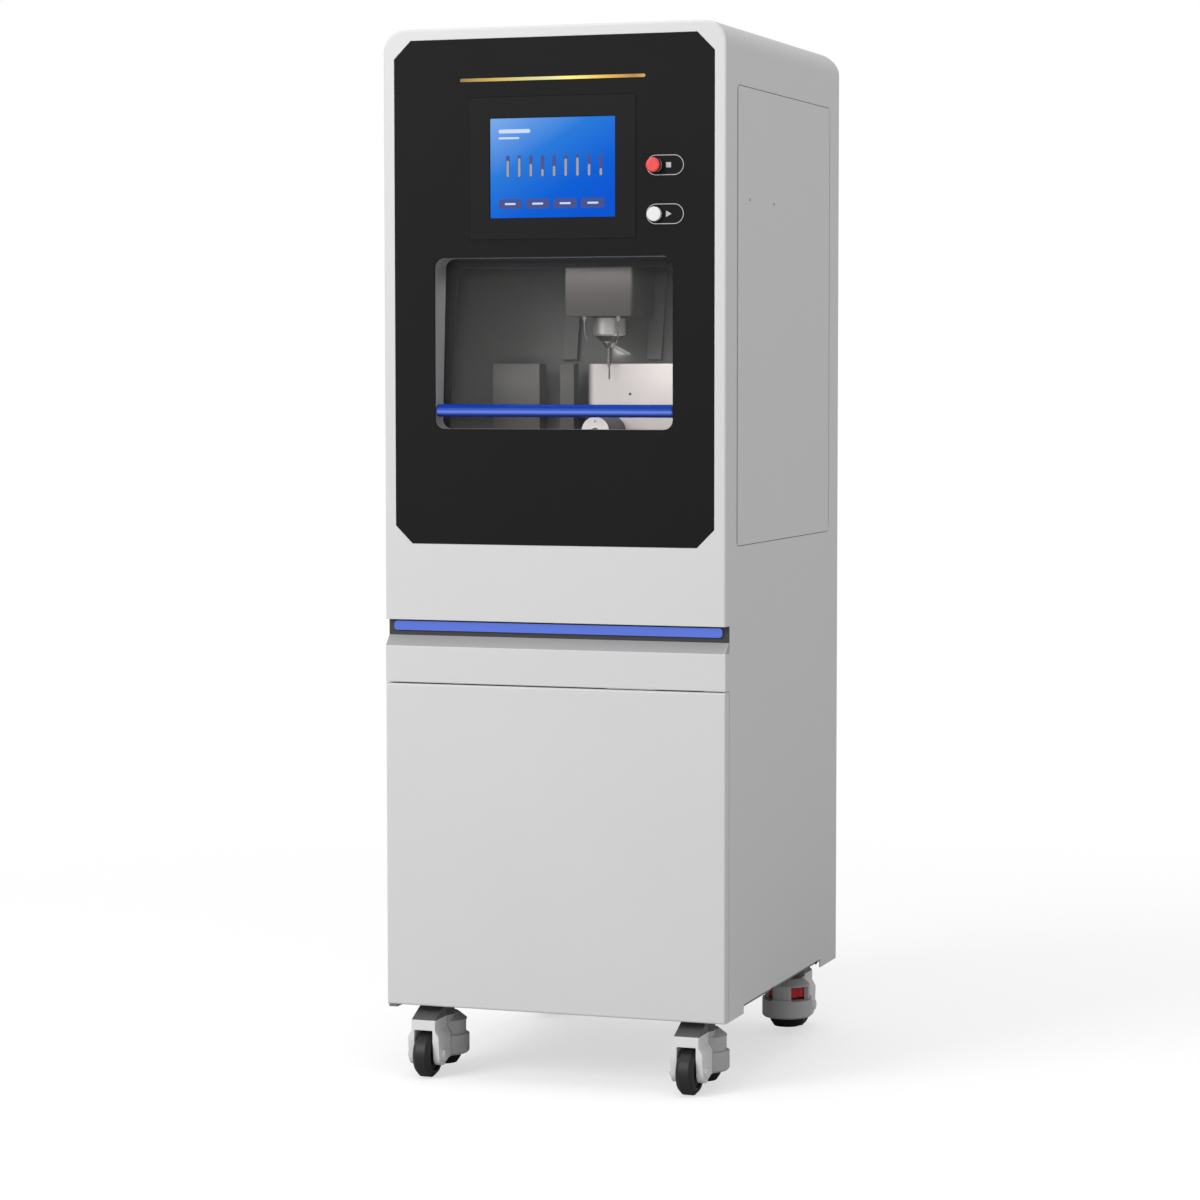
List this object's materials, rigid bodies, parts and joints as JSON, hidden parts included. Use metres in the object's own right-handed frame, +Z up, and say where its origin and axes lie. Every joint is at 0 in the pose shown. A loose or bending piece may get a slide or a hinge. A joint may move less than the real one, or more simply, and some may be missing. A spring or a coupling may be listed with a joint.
{
  "type": "cnc machining center",
  "caption": "Tall narrow milling machine cabinet with a sliding window over its spindle, a touch display, push buttons and a light groove, on levelling castors.",
  "frame": {"origin": "on the ground, under the middle of the machine", "axes": "+X to the machine's right as seen from the front, the front faces -Y, +Z up"},
  "size_m": [0.56, 0.683, 1.647],
  "materials": {
    "cabinet_paint": "satin powder coat",
    "fascia_black": "matt",
    "bezel_black": "matt",
    "display": "lit",
    "accent_gold": "gloss",
    "socket_grey": "satin",
    "button_red": "gloss",
    "button_white": "gloss",
    "reveal_grey": "satin",
    "clear_pane": "clear",
    "handle_blue": "anodised",
    "rail_dark": "anodised",
    "strip_blue": "lit",
    "frame_grey": "satin",
    "liner_grey": "satin",
    "mouth_black": "matt",
    "head_taupe": "satin",
    "spindle_steel": "brushed",
    "polished_steel": "polished",
    "tool_carbide": "ground",
    "work_cream": "satin",
    "magazine_grey": "satin",
    "carriage_aluminium": "milled",
    "motor_black": "matt",
    "control_grey": "satin",
    "duct_grey": "matt",
    "plate_zinc": "zinc plated",
    "caster_aluminium": "cast",
    "wheel_nylon": "moulded",
    "thumbwheel_red": "moulded",
    "pad_rubber": "moulded"
  },
  "bodies": {
    "cabinet": {"cabinet_shell": "cabinet_paint", "base_frame": "frame_grey", "mid_deck": "frame_grey", "header_panel": "cabinet_paint", "light_strip": "strip_blue", "front_fascia": "fascia_black", "window_surround": "reveal_grey", "screen_bezel": "bezel_black", "touch_screen": "display", "accent_trim": "accent_gold", "button_sockets": "socket_grey", "service_panel_right": "cabinet_paint", "service_panel_left": "cabinet_paint", "rear_panel_upper": "cabinet_paint", "rear_panel_lower": "cabinet_paint", "power_inlet": "motor_black", "dust_port": "motor_black", "dust_duct": "duct_grey", "sash_rails": "rail_dark", "chamber_liner": "liner_grey", "chamber_mouth_frame": "mouth_black", "machine_frame": "frame_grey", "axis_rails": "polished_steel", "x_motor": "motor_black", "control_box": "control_grey", "tool_magazine": "magazine_grey", "caster_plates": "plate_zinc"},
    "door": {"lower_door": "cabinet_paint"},
    "sash": {"sash_pane": "clear_pane", "sash_handle": "handle_blue"},
    "stop": {"stop_button": "button_red"},
    "start": {"start_button": "button_white"},
    "cross_axis": {"x_carriage": "carriage_aluminium", "slot_cover": "head_taupe", "z_motor": "motor_black"},
    "height_axis": {"z_carriage": "carriage_aluminium", "spindle_head": "head_taupe", "spindle_body": "spindle_steel"},
    "spindle": {"collet_nut": "polished_steel", "milling_tool": "tool_carbide"},
    "cross_screw": {"x_screw": "polished_steel"},
    "height_screw": {"z_screw": "polished_steel"},
    "work_unit": {"rotary_housing": "work_cream"},
    "chuck": {"rotary_chuck": "polished_steel"},
    "caster_front_left_swivel": {"caster_front_left_housing": "caster_aluminium"},
    "caster_front_left_roller": {"caster_front_left_wheel": "wheel_nylon"},
    "caster_front_left_adjuster": {"caster_front_left_thumbwheel": "thumbwheel_red"},
    "caster_front_left_foot": {"caster_front_left_pad": "pad_rubber"},
    "caster_front_right_swivel": {"caster_front_right_housing": "caster_aluminium"},
    "caster_front_right_roller": {"caster_front_right_wheel": "wheel_nylon"},
    "caster_front_right_adjuster": {"caster_front_right_thumbwheel": "thumbwheel_red"},
    "caster_front_right_foot": {"caster_front_right_pad": "pad_rubber"},
    "caster_rear_left_swivel": {"caster_rear_left_housing": "caster_aluminium"},
    "caster_rear_left_roller": {"caster_rear_left_wheel": "wheel_nylon"},
    "caster_rear_left_adjuster": {"caster_rear_left_thumbwheel": "thumbwheel_red"},
    "caster_rear_left_foot": {"caster_rear_left_pad": "pad_rubber"},
    "caster_rear_right_swivel": {"caster_rear_right_housing": "caster_aluminium"},
    "caster_rear_right_roller": {"caster_rear_right_wheel": "wheel_nylon"},
    "caster_rear_right_adjuster": {"caster_rear_right_thumbwheel": "thumbwheel_red"},
    "caster_rear_right_foot": {"caster_rear_right_pad": "pad_rubber"}
  },
  "joints": [
    {"name": "door_swing", "type": "hinge", "parent": "cabinet", "child": "door", "pos_m": [-0.272, -0.313, 0.371], "axis": [0, 0, -1], "range_deg": [0, 95]},
    {"name": "sash_slide", "type": "slide", "parent": "cabinet", "child": "sash", "axis": [0, 0.0638, 0.998], "range_m": [0, 0.215]},
    {"name": "stop_press", "type": "slide", "parent": "cabinet", "child": "stop", "axis": [0, 1, 0], "range_m": [0, 0.004], "stiffness_N_per_m": 900, "springref_m": -0.002},
    {"name": "start_press", "type": "slide", "parent": "cabinet", "child": "start", "axis": [0, 1, 0], "range_m": [0, 0.003], "stiffness_N_per_m": 700, "springref_m": -0.002},
    {"name": "cross_slide", "type": "slide", "parent": "cabinet", "child": "cross_axis", "axis": [1, 0, 0], "range_m": [-0.05, 0.05]},
    {"name": "height_slide", "type": "slide", "parent": "cross_axis", "child": "height_axis", "axis": [0, 0, 1], "range_m": [-0.02, 0.06]},
    {"name": "spindle_spin", "type": "hinge", "parent": "height_axis", "child": "spindle", "pos_m": [0.04, -0.169, 1.166], "axis": [0, 0, 1], "continuous": true},
    {"name": "cross_screw_turn", "type": "hinge", "parent": "cabinet", "child": "cross_screw", "pos_m": [0, -0.04, 1.456], "axis": [1, 0, 0], "range_deg": [-3600, 3600]},
    {"name": "height_screw_turn", "type": "hinge", "parent": "cross_axis", "child": "height_screw", "pos_m": [0.04, -0.074, 1.461], "axis": [0, 0, 1], "range_deg": [-1440, 4320]},
    {"name": "work_slide", "type": "slide", "parent": "cabinet", "child": "work_unit", "axis": [0, 1, 0], "range_m": [-0.005, 0.045]},
    {"name": "chuck_turn", "type": "hinge", "parent": "work_unit", "child": "chuck", "pos_m": [0.04, -0.198, 1.023], "axis": [0, 1, 0], "continuous": true},
    {"name": "caster_front_left_turn", "type": "hinge", "parent": "cabinet", "child": "caster_front_left_swivel", "pos_m": [-0.218, -0.257, 0.106], "axis": [0, 0, 1], "continuous": true},
    {"name": "caster_front_left_roll", "type": "hinge", "parent": "caster_front_left_swivel", "child": "caster_front_left_roller", "pos_m": [-0.218, -0.305, 0.0365], "axis": [1, 0, 0], "continuous": true},
    {"name": "caster_front_left_level", "type": "hinge", "parent": "caster_front_left_swivel", "child": "caster_front_left_adjuster", "pos_m": [-0.218, -0.239, 0.072], "axis": [0, 0, 1], "range_deg": [0, 2160]},
    {"name": "caster_front_left_pad_travel", "type": "slide", "parent": "caster_front_left_swivel", "child": "caster_front_left_foot", "axis": [0, 0, -1], "range_m": [0, 0.012]},
    {"name": "caster_front_right_turn", "type": "hinge", "parent": "cabinet", "child": "caster_front_right_swivel", "pos_m": [0.218, -0.257, 0.106], "axis": [0, 0, 1], "continuous": true},
    {"name": "caster_front_right_roll", "type": "hinge", "parent": "caster_front_right_swivel", "child": "caster_front_right_roller", "pos_m": [0.218, -0.305, 0.0365], "axis": [1, 0, 0], "continuous": true},
    {"name": "caster_front_right_level", "type": "hinge", "parent": "caster_front_right_swivel", "child": "caster_front_right_adjuster", "pos_m": [0.218, -0.239, 0.072], "axis": [0, 0, 1], "range_deg": [0, 2160]},
    {"name": "caster_front_right_pad_travel", "type": "slide", "parent": "caster_front_right_swivel", "child": "caster_front_right_foot", "axis": [0, 0, -1], "range_m": [0, 0.012]},
    {"name": "caster_rear_left_turn", "type": "hinge", "parent": "cabinet", "child": "caster_rear_left_swivel", "pos_m": [-0.218, 0.257, 0.106], "axis": [0, 0, 1], "continuous": true},
    {"name": "caster_rear_left_roll", "type": "hinge", "parent": "caster_rear_left_swivel", "child": "caster_rear_left_roller", "pos_m": [-0.218, 0.305, 0.0365], "axis": [1, 0, 0], "continuous": true},
    {"name": "caster_rear_left_level", "type": "hinge", "parent": "caster_rear_left_swivel", "child": "caster_rear_left_adjuster", "pos_m": [-0.218, 0.239, 0.072], "axis": [0, 0, 1], "range_deg": [0, 2160]},
    {"name": "caster_rear_left_pad_travel", "type": "slide", "parent": "caster_rear_left_swivel", "child": "caster_rear_left_foot", "axis": [0, 0, -1], "range_m": [0, 0.012]},
    {"name": "caster_rear_right_turn", "type": "hinge", "parent": "cabinet", "child": "caster_rear_right_swivel", "pos_m": [0.218, 0.257, 0.106], "axis": [0, 0, 1], "continuous": true},
    {"name": "caster_rear_right_roll", "type": "hinge", "parent": "caster_rear_right_swivel", "child": "caster_rear_right_roller", "pos_m": [0.218, 0.305, 0.0365], "axis": [1, 0, 0], "continuous": true},
    {"name": "caster_rear_right_level", "type": "hinge", "parent": "caster_rear_right_swivel", "child": "caster_rear_right_adjuster", "pos_m": [0.218, 0.239, 0.072], "axis": [0, 0, 1], "range_deg": [0, 2160]},
    {"name": "caster_rear_right_pad_travel", "type": "slide", "parent": "caster_rear_right_swivel", "child": "caster_rear_right_foot", "axis": [0, 0, -1], "range_m": [0, 0.012]}
  ],
  "couplings": [
    {"joint": "cross_screw_turn", "follows": "cross_slide", "rad_per_m": 1256.6},
    {"joint": "height_screw_turn", "follows": "height_slide", "rad_per_m": 1256.6},
    {"joint": "caster_front_left_level", "follows": "caster_front_left_pad_travel", "rad_per_m": 3141.6},
    {"joint": "caster_front_right_level", "follows": "caster_front_right_pad_travel", "rad_per_m": 3141.6},
    {"joint": "caster_rear_left_level", "follows": "caster_rear_left_pad_travel", "rad_per_m": 3141.6},
    {"joint": "caster_rear_right_level", "follows": "caster_rear_right_pad_travel", "rad_per_m": 3141.6}
  ]
}
